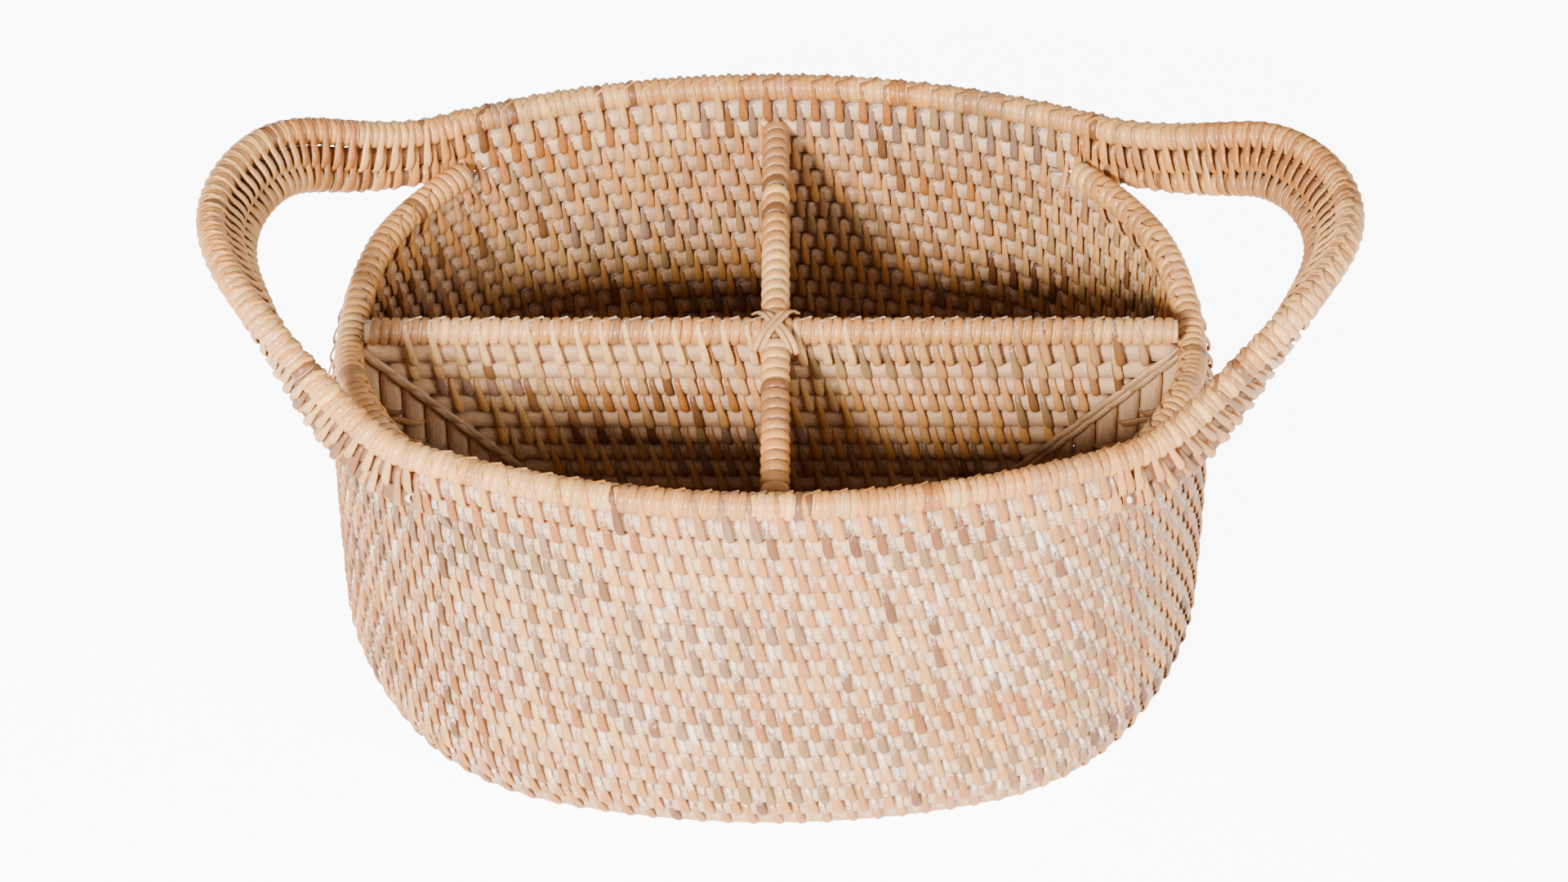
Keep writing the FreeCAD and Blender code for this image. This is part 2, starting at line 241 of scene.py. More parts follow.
# ---------------------------------------------------------------- mesh pieces
def srgb(red, green, blue):
    value = np.array([red, green, blue]) / 255.0
    return np.where(value <= 0.04045, value / 12.92, ((value + 0.055) / 1.055) ** 2.4)


def deeper(colour):
    """Darker and more saturated version of a colour."""
    return colour**1.22


MM = 1000
SEEDS = 900
INSIDE_WASH = 0.5
STRIP_EDGE = 0.45
EDGE_WASH = 0.25
VALLEY_WASH = 0.42
ROD_GRAIN = 3.6
END_SHARE = 0.02


class Heap:
    """Collects solids that become one mesh, with their colours and fibre directions."""

    def __init__(self):
        self.points = []
        self.faces = []
        self.tint = []
        self.fibre = []
        self.wash = []
        self.spots = []
        self.count = 0

    def add(self, points, faces, tint, fibre, wash, spots):
        points = points.reshape(-1, 3)
        number = len(points)
        a, b, c, d = (points[faces[:, corner]] for corner in range(4))
        volume = np.sum(a * np.cross(b, c)) + np.sum(a * np.cross(c, d))
        if volume < 0:
            faces = faces[:, ::-1]
        self.points.append(points)
        self.faces.append(faces + self.count)
        self.tint.append(tint.reshape(-1, 3))
        self.fibre.append(fibre.reshape(-1, 3))
        self.wash.append(wash.ravel())
        self.spots.append(np.broadcast_to(np.ravel(spots), number))
        self.count += number

    def build(self, name, slot, *nodes):
        points = np.vstack(self.points)
        faces = np.vstack(self.faces)
        mesh = bpy.data.meshes.new(name)
        mesh.vertices.add(len(points))
        mesh.vertices.foreach_set("co", points.ravel().astype(np.float32))
        mesh.loops.add(faces.size)
        mesh.loops.foreach_set("vertex_index", faces.ravel().astype(np.int32))
        mesh.polygons.add(len(faces))
        mesh.polygons.foreach_set("loop_start", np.arange(0, faces.size, 4, dtype=np.int32))
        mesh.update(calc_edges=True)
        mesh.polygons.foreach_set("use_smooth", np.ones(len(faces), dtype=bool))
        tint = mesh.attributes.new("tint", "FLOAT_COLOR", "POINT")
        colours = np.column_stack([np.vstack(self.tint), np.ones(len(points))])
        tint.data.foreach_set("color", colours.ravel().astype(np.float32))
        fibre = mesh.attributes.new("fibre", "FLOAT_VECTOR", "POINT")
        fibre.data.foreach_set("vector", np.vstack(self.fibre).ravel().astype(np.float32))
        for label, values in (("wash", self.wash), ("spots", self.spots)):
            layer = mesh.attributes.new(label, "FLOAT", "POINT")
            layer.data.foreach_set("value", np.concatenate(values).astype(np.float32))
        mesh.validate()
        mesh.materials.append(FINISHES[slot])
        piece = bpy.data.objects.new(name, mesh)
        bpy.context.scene.collection.objects.link(piece)
        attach(piece, "root")
        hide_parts(*nodes)
        return piece


# inside colour factor: the inside's own browner colour mixed with painted shade
INSIDE_BROWN_AND_SHADE = np.array([0.86, 0.80, 0.74])
OUTSIDE_SHADE = np.array([0.86, 0.72, 0.55])
# painted shade: the inside is darkened deep down towards the bottom
PAINTED_DEPTH_SHADE = np.array([0.82, 0.76, 0.70])


def inside_brown_and_painted_shade(points):
    """The inside is browner than the outside, partly its own colour and partly painted shade, and
    darker still towards the bottom, which is painted shade.
    """
    high = smooth((points[..., 2] - 0.035) / 0.085)[..., None]
    return PAINTED_DEPTH_SHADE + (INSIDE_BROWN_AND_SHADE - PAINTED_DEPTH_SHADE) * high


# cross-section of a cane strip: share of its width, share of its thickness
STRIP = ((-0.50, -0.2), (-0.42, 0.60), (-0.16, 1.0), (0.16, 1.0), (0.42, 0.60), (0.50, -0.2))


def ribbons(heap, path, outward, width, thickness, tint, wash, spots, closed=True, inner=None):
    """Cane strips, one along each row of path: (strips, stations, 3).

    Stations where inner is true take the colour of the inside with its painted shade, the others
    that of the outside.
    """
    strips, stations, _ = path.shape
    if closed:
        tangent = np.roll(path, -1, axis=1) - np.roll(path, 1, axis=1)
    else:
        tangent = np.gradient(path, axis=1)
    tangent = unit(tangent)
    side = unit(np.cross(tangent, outward))
    proud = unit(np.cross(side, tangent))
    shape = np.array(STRIP)
    corners = len(shape)
    width = np.broadcast_to(width, (strips, stations))
    across = shape[:, 0] * width[..., None]
    rise = np.broadcast_to(shape[:, 1] * thickness, across.shape)
    points = (
        path[:, :, None, :]
        + side[:, :, None, :] * across[..., None]
        + proud[:, :, None, :] * rise[..., None]
    )
    steps = np.linalg.norm(np.diff(path, axis=1), axis=2)
    along = np.concatenate([np.zeros((strips, 1)), np.cumsum(steps, axis=1)], axis=1)
    seed = rng.uniform(0, SEEDS, (strips, 1, 1))
    fibre = np.stack(
        [
            across * MM,
            np.broadcast_to(along[..., None] * MM, across.shape),
            np.broadcast_to(seed, across.shape),
        ],
        -1,
    )
    index = np.arange(strips * stations * corners).reshape(strips, stations, corners)
    if closed:
        here = index
        there = np.roll(index, -1, axis=1)
    else:
        here = index[:, :-1]
        there = index[:, 1:]
    faces = np.stack(
        [here, np.roll(here, -1, axis=2), np.roll(there, -1, axis=2), there], -1
    ).reshape(-1, 4)
    if not closed:
        for end in (index[:, 0], index[:, -1][:, ::-1]):
            for a, b, c, d in ((0, 1, 4, 5), (1, 2, 3, 4)):
                faces = np.vstack([faces, end[:, [a, b, c, d]]])
    edge = np.abs(shape[:, 0]) > STRIP_EDGE
    wash = np.broadcast_to(wash, (strips, stations))[..., None] + edge * EDGE_WASH
    tint = np.broadcast_to(np.asarray(tint).reshape(-1, 1, 1, 3), points.shape)
    if inner is not None:
        # inside stations: browner colour plus painted shade, darker towards the bottom
        tint = tint * np.where(inner[None, :, None, None], inside_brown_and_painted_shade(points), OUTSIDE_SHADE)
        wash = wash * np.where(inner[None, :, None], INSIDE_WASH, 1.0)
    spots = np.broadcast_to(np.asarray(spots).reshape(-1, 1, 1), across.shape)
    heap.add(points, faces, tint, fibre, wash, spots)


def rod(
    heap, lane, distance, half_out, half_up, tint, wash, around=12, power=2.0, inner=None
):
    """Rod of rounded section along the lane; open ends are drawn in and closed.

    With inner "back" the side that faces inwards takes the inside's colour and painted shade, with
    "all" both do.
    """
    closed = lane.closed
    spot, outward, upward = lane.at(distance)
    stations = len(distance)
    half_out = np.broadcast_to(half_out, stations).copy()
    half_up = np.broadcast_to(half_up, stations).copy()
    if not closed:
        spot, outward, upward = (
            np.vstack([rows[:1], rows, rows[-1:]]) for rows in (spot, outward, upward)
        )
        half_out, half_up = (
            np.concatenate([[half[0] * END_SHARE], half, [half[-1] * END_SHARE]])
            for half in (half_out, half_up)
        )
        distance = np.concatenate([distance[:1], distance, distance[-1:]])
        wash = np.broadcast_to(wash, stations)
        wash = np.concatenate([wash[:1], wash, wash[-1:]])
        stations += 2
    angle = np.linspace(0, 2 * np.pi, around, endpoint=False)
    c = np.sign(np.cos(angle)) * np.abs(np.cos(angle)) ** (2 / power)
    s = np.sign(np.sin(angle)) * np.abs(np.sin(angle)) ** (2 / power)
    points = (
        spot[:, None]
        + outward[:, None] * (half_out[:, None] * c)[..., None]
        + upward[:, None] * (half_up[:, None] * s)[..., None]
    )
    index = np.arange(stations * around).reshape(stations, around)
    there = np.roll(index, -1, axis=0) if closed else index[1:]
    here = index if closed else index[:-1]
    faces = np.stack(
        [here, np.roll(here, -1, axis=1), np.roll(there, -1, axis=1), there], -1
    ).reshape(-1, 4)
    if not closed:
        for ring in (index[0], index[-1][::-1]):
            for step in range(0, around - 2, 2):
                quad = [ring[0], ring[step + 1], ring[step + 2], ring[(step + 3) % around]]
                faces = np.vstack([faces, [quad]])
    fibre = np.stack(
        [
            np.broadcast_to(angle * ROD_GRAIN, index.shape),
            np.broadcast_to(np.asarray(distance)[:, None] * MM, index.shape),
            np.full(index.shape, rng.uniform(0, SEEDS)),
        ],
        -1,
    )
    valley = np.abs(np.sin(angle)) ** 4 * VALLEY_WASH
    wash = np.broadcast_to(wash, stations)[:, None] + valley
    tint = np.broadcast_to(tint, points.shape)
    if inner:
        inside = c < 0 if inner == "back" else np.ones(around, dtype=bool)
        # inward side: browner colour plus painted shade, darker towards the bottom
        tint = tint * np.where(inside[None, :, None], inside_brown_and_painted_shade(points), 1.0)
        wash = wash * np.where(inside[None, :], INSIDE_WASH, 1.0)
    heap.add(points, faces, tint, fibre, wash, 0.0)


# ---------------------------------------------------------------- colours of the strips
SHADES = {
    "honey": srgb(214, 162, 100),
    "straw": srgb(224, 182, 124),
    "peach": srgb(208, 160, 112),
    "tan": srgb(184, 140, 96),
    "lilac": srgb(166, 136, 114),
    "olive": srgb(176, 146, 102),
    "orange": srgb(196, 136, 72),
    "brown": srgb(134, 90, 50),
}
# the share of each shade among the stitches of the wall, and among the wraps
WALL_MIX = {"honey": 0.30, "straw": 0.19, "peach": 0.17, "tan": 0.15}
WALL_MIX.update(lilac=0.06, olive=0.08, orange=0.03, brown=0.02)
WRAP_MIX = {"honey": 0.34, "straw": 0.42, "peach": 0.10, "tan": 0.08, "lilac": 0.03, "orange": 0.03}


SPOTTED = ("brown", "orange")
RUN_ENDS = 0.22
ODD_STRIPS = 0.03
STRIP_VARIES = 0.09


def strip_colours(count, mix):
    """Neighbouring strips are cut from one length of cane, so colours come in runs."""
    names = list(mix)
    weights = np.array([mix[name] for name in names])
    tints = np.zeros((count, 3))
    spots = np.zeros(count)
    place = 0
    while place < count:
        run = 1 + rng.geometric(RUN_ENDS)
        name = names[rng.choice(len(names), p=weights / weights.sum())]
        last = min(count, place + run)
        tints[place:last] = deeper(SHADES[name]) * rng.uniform(0.88, 1.12)
        spots[place:last] = 1.0 if name in SPOTTED else rng.uniform(0, 0.25)
        place = last
    tints *= rng.normal(1.0, STRIP_VARIES, (count, 1))
    odd = rng.uniform(size=count) < ODD_STRIPS
    tints[odd] = SHADES["brown"] * rng.uniform(0.7, 1.1)
    spots[odd] = 1.0
    return np.clip(tints, 0.02, 0.95), spots


# ---------------------------------------------------------------- materials
def new_group(name, inputs, outputs):
    group = bpy.data.node_groups.new(name, "ShaderNodeTree")
    for label, kind in inputs:
        group.interface.new_socket(label, in_out="INPUT", socket_type="NodeSocket" + kind)
    for label, kind in outputs:
        group.interface.new_socket(label, in_out="OUTPUT", socket_type="NodeSocket" + kind)
    entry = group.nodes.new("NodeGroupInput")
    leave = group.nodes.new("NodeGroupOutput")
    return group, entry, leave


def noise_at(tree, vector, detail, across, along, offset=0.0):
    """Noise stretched along the fibre: across and along are its rates in each direction."""
    mapping = tree.nodes.new("ShaderNodeMapping")
    mapping.inputs["Scale"].default_value = (across, along, 1.0)
    mapping.inputs["Location"].default_value = (offset, offset, offset)
    tree.links.new(vector, mapping.inputs["Vector"])
    texture = tree.nodes.new("ShaderNodeTexNoise")
    texture.inputs["Scale"].default_value = 1.0
    texture.inputs["Detail"].default_value = detail
    texture.inputs["Roughness"].default_value = 0.6
    tree.links.new(mapping.outputs["Vector"], texture.inputs["Vector"])
    return texture.outputs["Fac"]


def ramp_of(tree, value, low, high, from_value=0.0, to_value=1.0):
    """Smooth step of value from low to high."""
    node = tree.nodes.new("ShaderNodeMapRange")
    node.interpolation_type = "SMOOTHSTEP"
    node.inputs["From Min"].default_value = low
    node.inputs["From Max"].default_value = high
    node.inputs["To Min"].default_value = from_value
    node.inputs["To Max"].default_value = to_value
    tree.links.new(value, node.inputs["Value"])
    return node.outputs["Result"]


def maths(tree, operation, first, second):
    node = tree.nodes.new("ShaderNodeMath")
    node.operation = operation
    for socket, value in zip(node.inputs, (first, second)):
        if isinstance(value, (int, float)):
            socket.default_value = value
        else:
            tree.links.new(value, socket)
    return node.outputs["Value"]


def blend_colour(tree, share, first, second, mode="MIX"):
    node = tree.nodes.new("ShaderNodeMix")
    node.data_type = "RGBA"
    node.blend_type = mode
    sockets = [socket for socket in node.inputs if socket.type == "RGBA"]
    for socket, value in zip(sockets, (first, second)):
        if isinstance(value, tuple):
            socket.default_value = value
        else:
            tree.links.new(value, socket)
    if isinstance(share, (int, float)):
        node.inputs["Factor"].default_value = share
    else:
        tree.links.new(share, node.inputs["Factor"])
    return next(socket for socket in node.outputs if socket.type == "RGBA")


GRAIN_BROWN = srgb(150, 110, 84)
SPOT_BROWN = srgb(126, 78, 36)


def fibre_group():
    """Split cane or rod: long streaks, fine cross marks, brown spots and white wash."""
    group, entry, leave = new_group(
        "cane_surface",
        (
            ("Tint", "Color"),
            ("Fibre", "Vector"),
            ("Wash", "Float"),
            ("Spots", "Float"),
            ("Grain", "Float"),
            ("Wash Colour", "Color"),
        ),
        (
            ("Colour", "Color"),
            ("Roughness", "Float"),
            ("Height", "Float"),
        ),
    )
    fibre = entry.outputs["Fibre"]
    streak = noise_at(group, fibre, 4.0, 3.2, 0.16)
    broad = noise_at(group, fibre, 2.0, 0.5, 0.22, 7.0)
    marks = noise_at(group, fibre, 2.0, 0.25, 3.6, 13.0)
    speck = noise_at(group, fibre, 3.0, 2.4, 1.5, 29.0)
    hairs = noise_at(group, fibre, 2.0, 4.2, 0.30, 41.0)

    shade = ramp_of(group, streak, 0.28, 0.72, 0.86, 1.10)
    shade = maths(group, "MULTIPLY", shade, ramp_of(group, broad, 0.3, 0.7, 0.90, 1.08))
    shade = maths(group, "MULTIPLY", shade, ramp_of(group, marks, 0.3, 0.7, 0.96, 1.03))
    grey = group.nodes.new("ShaderNodeCombineColor")
    for channel in ("Red", "Green", "Blue"):
        group.links.new(shade, grey.inputs[channel])
    colour = blend_colour(group, 1.0, entry.outputs["Tint"], grey.outputs["Color"], "MULTIPLY")

    line = ramp_of(group, hairs, 0.60, 0.66)
    line = maths(group, "MULTIPLY", line, entry.outputs["Grain"])
    colour = blend_colour(group, line, colour, (*GRAIN_BROWN, 1.0))

    spotted = ramp_of(group, speck, 0.50, 0.60)
    spotted = maths(group, "MULTIPLY", spotted, entry.outputs["Spots"])
    spotted = maths(group, "MULTIPLY", spotted, 0.8)
    colour = blend_colour(group, spotted, colour, (*SPOT_BROWN, 1.0))

    patchy = noise_at(group, fibre, 3.0, 1.1, 0.8, 53.0)
    patchy = maths(group, "MULTIPLY", maths(group, "SUBTRACT", patchy, 0.5), 1.1)
    wash = maths(group, "ADD", entry.outputs["Wash"], patchy)
    wash = ramp_of(group, wash, 0.30, 0.80)
    colour = blend_colour(group, wash, colour, entry.outputs["Wash Colour"])

    rough = ramp_of(group, wash, 0.0, 1.0, 0.42, 0.85)
    ridges = maths(group, "MULTIPLY", streak, 0.7)
    height = maths(group, "ADD", ridges, maths(group, "MULTIPLY", marks, 0.3))
    group.links.new(colour, leave.inputs["Colour"])
    group.links.new(rough, leave.inputs["Roughness"])
    group.links.new(height, leave.inputs["Height"])
    return group


SURFACE = fibre_group()


def cane_material(name, grain, coat, bump):
    """Cane or rod: how much dark grain it shows, how glossy it is and how rough to the touch."""
    material = bpy.data.materials.new(name)
    material.use_nodes = True
    tree = material.node_tree
    shader = tree.nodes["Principled BSDF"]
    surface = tree.nodes.new("ShaderNodeGroup")
    surface.node_tree = SURFACE
    surface.inputs["Grain"].default_value = grain
    surface.inputs["Wash Colour"].default_value = (*WHITE_WASH, 1.0)
    outputs = {"Tint": "Color", "Fibre": "Vector", "Wash": "Fac", "Spots": "Fac"}
    for label, output in outputs.items():
        source = tree.nodes.new("ShaderNodeAttribute")
        source.attribute_name = label.lower()
        tree.links.new(source.outputs[output], surface.inputs[label])
    relief = tree.nodes.new("ShaderNodeBump")
    relief.inputs["Strength"].default_value = bump
    relief.inputs["Distance"].default_value = 0.0003
    tree.links.new(surface.outputs["Height"], relief.inputs["Height"])
    tree.links.new(surface.outputs["Colour"], shader.inputs["Base Color"])
    tree.links.new(surface.outputs["Roughness"], shader.inputs["Roughness"])
    tree.links.new(relief.outputs["Normal"], shader.inputs["Normal"])
    shader.inputs["Specular IOR Level"].default_value = 0.4
    shader.inputs["Coat Weight"].default_value = coat
    shader.inputs["Coat Roughness"].default_value = 0.22
    return material


WHITE_WASH = srgb(236, 222, 208)
SPLIT_CANE = cane_material("split_cane", grain=0.15, coat=0.10, bump=0.7)
FINISHES = {
    "cane_stitch": SPLIT_CANE,
    "lashing": SPLIT_CANE,
    "cane_rim_wrap": cane_material("glossy_split_cane", grain=0.15, coat=0.35, bump=0.4),
    "rattan_core": cane_material("rattan_rod", grain=0.75, coat=0.0, bump=0.7),
}
CORE_TINT = srgb(222, 180, 136)
SHADED_CORE = srgb(128, 84, 50)
HANDLE_SHADE = np.array([0.99, 0.88, 0.72])


# ---------------------------------------------------------------- the weave
def there_and_back(values, sign=1):
    """Values down the outside of a stitch and back up its inside."""
    values = np.array(values)
    return np.concatenate([values, sign * values[::-1][1:-1]])


# one stitch round two rods: the rows go from one rod's middle, 0, to the next one's, 1
LOOP_ROWS = there_and_back([-0.50, -0.42, -0.22, 0.10, 0.42, 0.72, 1.00, 1.24, 1.42, 1.50])
LOOP_OUT = there_and_back([0.00, 0.66, 0.97, 1.05, 1.06, 1.20, 1.24, 1.12, 0.70, 0.00], -1)
LOOP_WIDTH = there_and_back([1.4, 1.9, 2.2, 2.3, 2.6, 3.1, 3.2, 2.7, 1.6, 1.2]) / 1000
LOOP_WASH = there_and_back([0.9, 0.65, 0.46, 0.38, 0.26, 0.04, 0.00, 0.04, 0.40, 0.9])
LOOP_INNER = LOOP_OUT < 0
ALL_IN = np.ones(len(LOOP_OUT), dtype=bool)
CORE_HALF = 0.00335
STRIP_THICKNESS = 0.0006
JITTER = 0.00022


def stitch_loops(upper, lower, start_upper, start_lower, half, lean=LEAN):
    """Closed paths of stitches: down the outside over both rods and back up the inside."""
    front = LOOP_OUT >= 0
    down = lean * (LOOP_ROWS + 0.5)
    up = 2.0 * lean + lean * 0.45 * (1.5 - LOOP_ROWS)
    shift = np.where(front, down, up)
    spot_a, out_a, up_a = upper.at(np.asarray(start_upper)[:, None] + shift[None])
    spot_b, out_b, up_b = lower.at(np.asarray(start_lower)[:, None] + shift[None])
    path = spot_a + (spot_b - spot_a) * LOOP_ROWS[None, :, None]
    outward = unit(out_a + out_b)
    path = path + outward * (LOOP_OUT * half)[None, :, None]
    normal = outward * np.where(front, 1.0, -1.0)[None, :, None]
    turns = LOOP_OUT == 0
    top_end = turns & (LOOP_ROWS < 0)
    bottom_end = turns & (LOOP_ROWS > 0)
    normal = np.where(top_end[None, :, None], unit(up_a), normal)
    normal = np.where(bottom_end[None, :, None], -unit(up_b), normal)
    return path, normal


def sew(
    heap, upper, lower, upper_at, lower_at, half, mix, lean=LEAN, width=LOOP_WIDTH,
    wash=LOOP_WASH, thickness=STRIP_THICKNESS, shade=1.0, inner=None,
):
    """A row of stitches round two rods, coloured in runs."""
    path, normal = stitch_loops(upper, lower, upper_at, lower_at, half, lean)
    tints, spots = strip_colours(len(path), mix)
    tints = tints * shade
    ribbons(heap, path, normal, width[None], thickness, tints, wash[None], spots, inner=inner)


def wall_start(row, number):
    """Place of each stitch as a share of the way round; every course steps on by the shift."""
    return number / STITCHES + (COURSES - row) * ROW_SHIFT / wall[COURSES].length


wall = {course: wall_lane(course) for course in range(1, COURSES + 1)}
rim_lane, upper_lane, lower_lane = band_lanes()
BAND_HALF = (len(rim_lane.distance) - 1) // 2


def closeness_to(distance, starts_a, starts_b, length):
    """From 0 midway between two strips that cross the rod to 1 under a strip."""
    ticks = np.sort(np.mod(np.concatenate([starts_a, starts_b]), length))
    near = np.interp(
        np.mod(distance, length),
        np.concatenate([[ticks[-1] - length], ticks, [ticks[0] + length]]),
        np.arange(len(ticks) + 2),
    )
    return np.abs(near - np.floor(near) - 0.5) * 2


def wall_rod(course, names):
    """The rod of a course: thinner, darker with painted shade and more washed where strips cross
    it.
    """
    lane = wall[course]
    length = lane.length
    numbers = np.arange(STITCHES)
    own = wall_start(course, numbers) * length + LEAN * 0.5
    above = wall_start(course + 1, numbers) * length + LEAN * 1.5
    distance = np.linspace(0, length, STITCHES * 8, endpoint=False)
    closeness = closeness_to(distance, own, above, length)
    squeezed = np.ones(len(distance))
    if course >= FIRST_SQUEEZED:
        at_side, share = side_squeeze(lane.at(distance)[0])
        squeezed = np.where(at_side, share, 1.0)
    heap = Heap()
    rod(
        heap,
        lane,
        distance,
        CORE_HALF * (1.0 - 0.20 * closeness**3),
        PITCH * 0.495 * squeezed,
        # painted shade: the core darkens where strips cross it, for the shadow beside each stitch
        CORE_TINT * (1.0 - 0.34 * closeness**2)[:, None, None],
        -0.05 + 0.42 * closeness**4,
        power=2.3,
        inner="back",
    )
    heap.build(f"course_{course:02d}_rod", "rattan_core", *names)


def wall_stitches(course, names):
    """The stitches that tie a course to the one below it."""
    lane = wall[course]
    below = wall[course - 1]
    starts = wall_start(course, np.arange(STITCHES))
    jitter = rng.normal(0, JITTER, STITCHES)
    path, normal = stitch_loops(
        lane, below, starts * lane.length + jitter, starts * below.length + jitter, CORE_HALF
    )
    tints, spots = strip_colours(STITCHES, WALL_MIX)
    widths = LOOP_WIDTH[None] * rng.normal(1.0, 0.07, (STITCHES, 1))
    washes = LOOP_WASH[None] + rng.normal(0.0, 0.10, (STITCHES, 1))
    heap = Heap()
    ribbons(heap, path, normal, widths, STRIP_THICKNESS, tints, washes, spots, inner=LOOP_INNER)
    heap.build(f"course_{course:02d}_stitches", "cane_stitch", *names)


for course in range(1, COURSES + 1):
    names = [f"wall_course_{course:02d}"]
    if course == COURSES:
        names = [f"wall_course_{course}_front", f"wall_course_{course}_back"]
    wall_rod(course, names)
    if course > 1:
        wall_stitches(course, names)


# ---------------------------------------------------------------- band, rim and handles
def round_rod(name, node, lane, stations, radius, wash):
    """A piece that is one plain round rod, to go under wraps."""
    heap = Heap()
    distance = np.linspace(0, lane.length, stations, endpoint=not lane.closed)
    rod(heap, lane, distance, radius, radius, CORE_TINT, wash, around=14)
    heap.build(name, "rattan_core", node)


def wraps(name, node, lane, place, size, mix, slant=0.0, thickness=0.0007, shade=1.0):
    """A piece of strips wound once round a rod, side by side; size is their radius and width."""
    radius, width = size
    angle = np.linspace(0, 2 * np.pi, 14, endpoint=False)
    spot, outward, upward = lane.at(place[:, None] + slant * np.sin(angle)[None])
    ray = outward * np.cos(angle)[None, :, None] + upward * np.sin(angle)[None, :, None]
    path = spot + ray * radius
    tints, spots = strip_colours(len(place), mix)
    widths = (width * rng.normal(1.0, 0.06, len(place)))[:, None]
    heap = Heap()
    ribbons(heap, path, ray, widths, thickness, tints * shade, 0.02, spots)
    heap.build(name, "cane_rim_wrap", node)


def build_band():
    length = rim_lane.length
    round_rod("rim_rod", "top_rim", rim_lane, 700, 0.0042, 0.1)
    count = int(length / 0.00295)
    place = (np.arange(count) + rng.normal(0, 0.05, count)) * length / count
    size = (0.0041, 0.0029)
    wraps("rim_wraps", "top_rim", rim_lane, place, size, WRAP_MIX, 0.0005, shade=HANDLE_SHADE)
    for label, lane in (("upper", upper_lane), ("lower", lower_lane)):
        heap = Heap()
        distance = np.linspace(0, lane.length, 900, endpoint=False)
        free = np.abs(lane.at(distance)[0][:, 0]) > BAND_LEAVES
        core = np.where(free[:, None, None], SHADED_CORE, CORE_TINT)
        rod(heap, lane, distance, CORE_HALF, 0.0038, core, 0.0, power=2.5)
        heap.build(f"band_{label}_core", "rattan_core", f"band_rod_{label}")


def band_share(distance, lane):
    """Place on a band rod that lies under the same place on the rim."""
    return np.interp(distance, rim_lane.distance, lane.distance)


def stitch_band():
    """Stitches of the band: on the wall they carry on the courses' pattern."""
    top_course = wall[COURSES]
    numbers = np.arange(STITCHES)
    tiers = (
        ("lower", "band_rod_lower", lower_lane, top_course, 1.0),
        ("upper", "band_rod_upper", upper_lane, lower_lane, 1.0),
        ("rim", "top_rim", rim_lane, upper_lane, 1.22),
    )
    for tier, (label, node, top, below, swell) in enumerate(tiers):
        share = np.mod(wall_start(COURSES + 1 + tier, numbers) + 0.25, 1.0) - 0.25
        keep = np.abs(top_course.at(share * top_course.length)[0][:, 0]) < BAND_LEAVES
        on_front = (share < 0.25)[keep]
        reach = np.where(share < 0.25, share, share - 0.5)[keep] * top_course.length
        places = []
        for lane in (top, below):
            back = lane.length / 2 if lane is top_course else lane.distance[BAND_HALF]
            places.append(np.where(on_front, 0.0, back) + reach)
        path, normal = stitch_loops(top, below, *places, CORE_HALF * swell)
        count = len(reach)
        tints, spots = strip_colours(count, WALL_MIX)
        wash = LOOP_WASH * (0.2 if label == "rim" else 1.0)
        if label == "upper":
            dark = on_front & (reach > -0.024) & (reach < 0.072) & (rng.uniform(size=count) < 0.6)
            tints[dark] = deeper(SHADES["orange"]) * rng.uniform(0.30, 0.8, (dark.sum(), 1))
            spots[dark] = 1.0
        width = LOOP_WIDTH[None]
        heap = Heap()
        ribbons(
            heap, path, normal, width, STRIP_THICKNESS, tints, wash[None], spots, inner=LOOP_INNER
        )
        heap.build(f"band_{label}_stitches", "cane_stitch", node)


def stitch_handles():
    """Closer stitches on the two free stretches of the band."""
    for label, side, tilt in (("right", 1, 0.0012), ("left", -1, 0.0006)):
        leaves = np.flatnonzero(rim_lane.columns[0][:, 0] * side > BAND_LEAVES - 0.002)
        start, end = rim_lane.distance[leaves[[0, -1]]]
        middle = (start + end) / 2
        reach = (end - start) / 2
        count = int(2 * reach / 0.0060)
        tiers = (
            (1, "band_rod_upper", rim_lane, upper_lane, 1.28, 0.0),
            (2, "band_rod_lower", upper_lane, lower_lane, 1.06, 0.5),
        )
        for tier, node, top, below, swell, half_step in tiers:
            place = middle - reach + (np.arange(count) + half_step) * 2 * reach / count
            heap = Heap()
            top_at = band_share(place, top)
            below_at = band_share(place, below)
            half = CORE_HALF * swell
            width = np.clip(LOOP_WIDTH, 0.0022, 0.0031)
            wash = LOOP_WASH * 0.2
            sew(
                heap, top, below, top_at, below_at, half, WRAP_MIX, tilt, width, wash,
                shade=HANDLE_SHADE,
            )
            heap.build(f"handle_{label}_stitches_{tier}", "cane_rim_wrap", node)
        count = int(2 * reach / 0.0042)
        place = band_share(middle - reach + np.arange(count) * 2 * reach / count, lower_lane)
        name = f"handle_{label}_edge_wraps"
        size = (0.0037, 0.0027)
        wraps(name, "band_rod_lower", lower_lane, place, size, WRAP_MIX, shade=HANDLE_SHADE)


build_band()
stitch_band()
stitch_handles()


# ---------------------------------------------------------------- side rims
def side_lane(side):
    """Path of the thick wrapped edge between the handle roots."""
    whole = wall[COURSES].columns[0]
    normals = wall[COURSES].columns[1]
    chosen = (whole[:, 0] * side > 0) & (np.abs(whole[:, 1]) < SIDE_RIM_END)
    index = np.flatnonzero(chosen)
    if side < 0:
        index = index[np.argsort(-whole[index, 1])]
    spots = whole[index].copy()
    spots[:, :2] -= normals[index, :2] * SIDE_RIM_INSET
    spots[:, 2] = side_rim_middle(spots[:, 1])
    return Lane(spots, normals[index], closed=False)


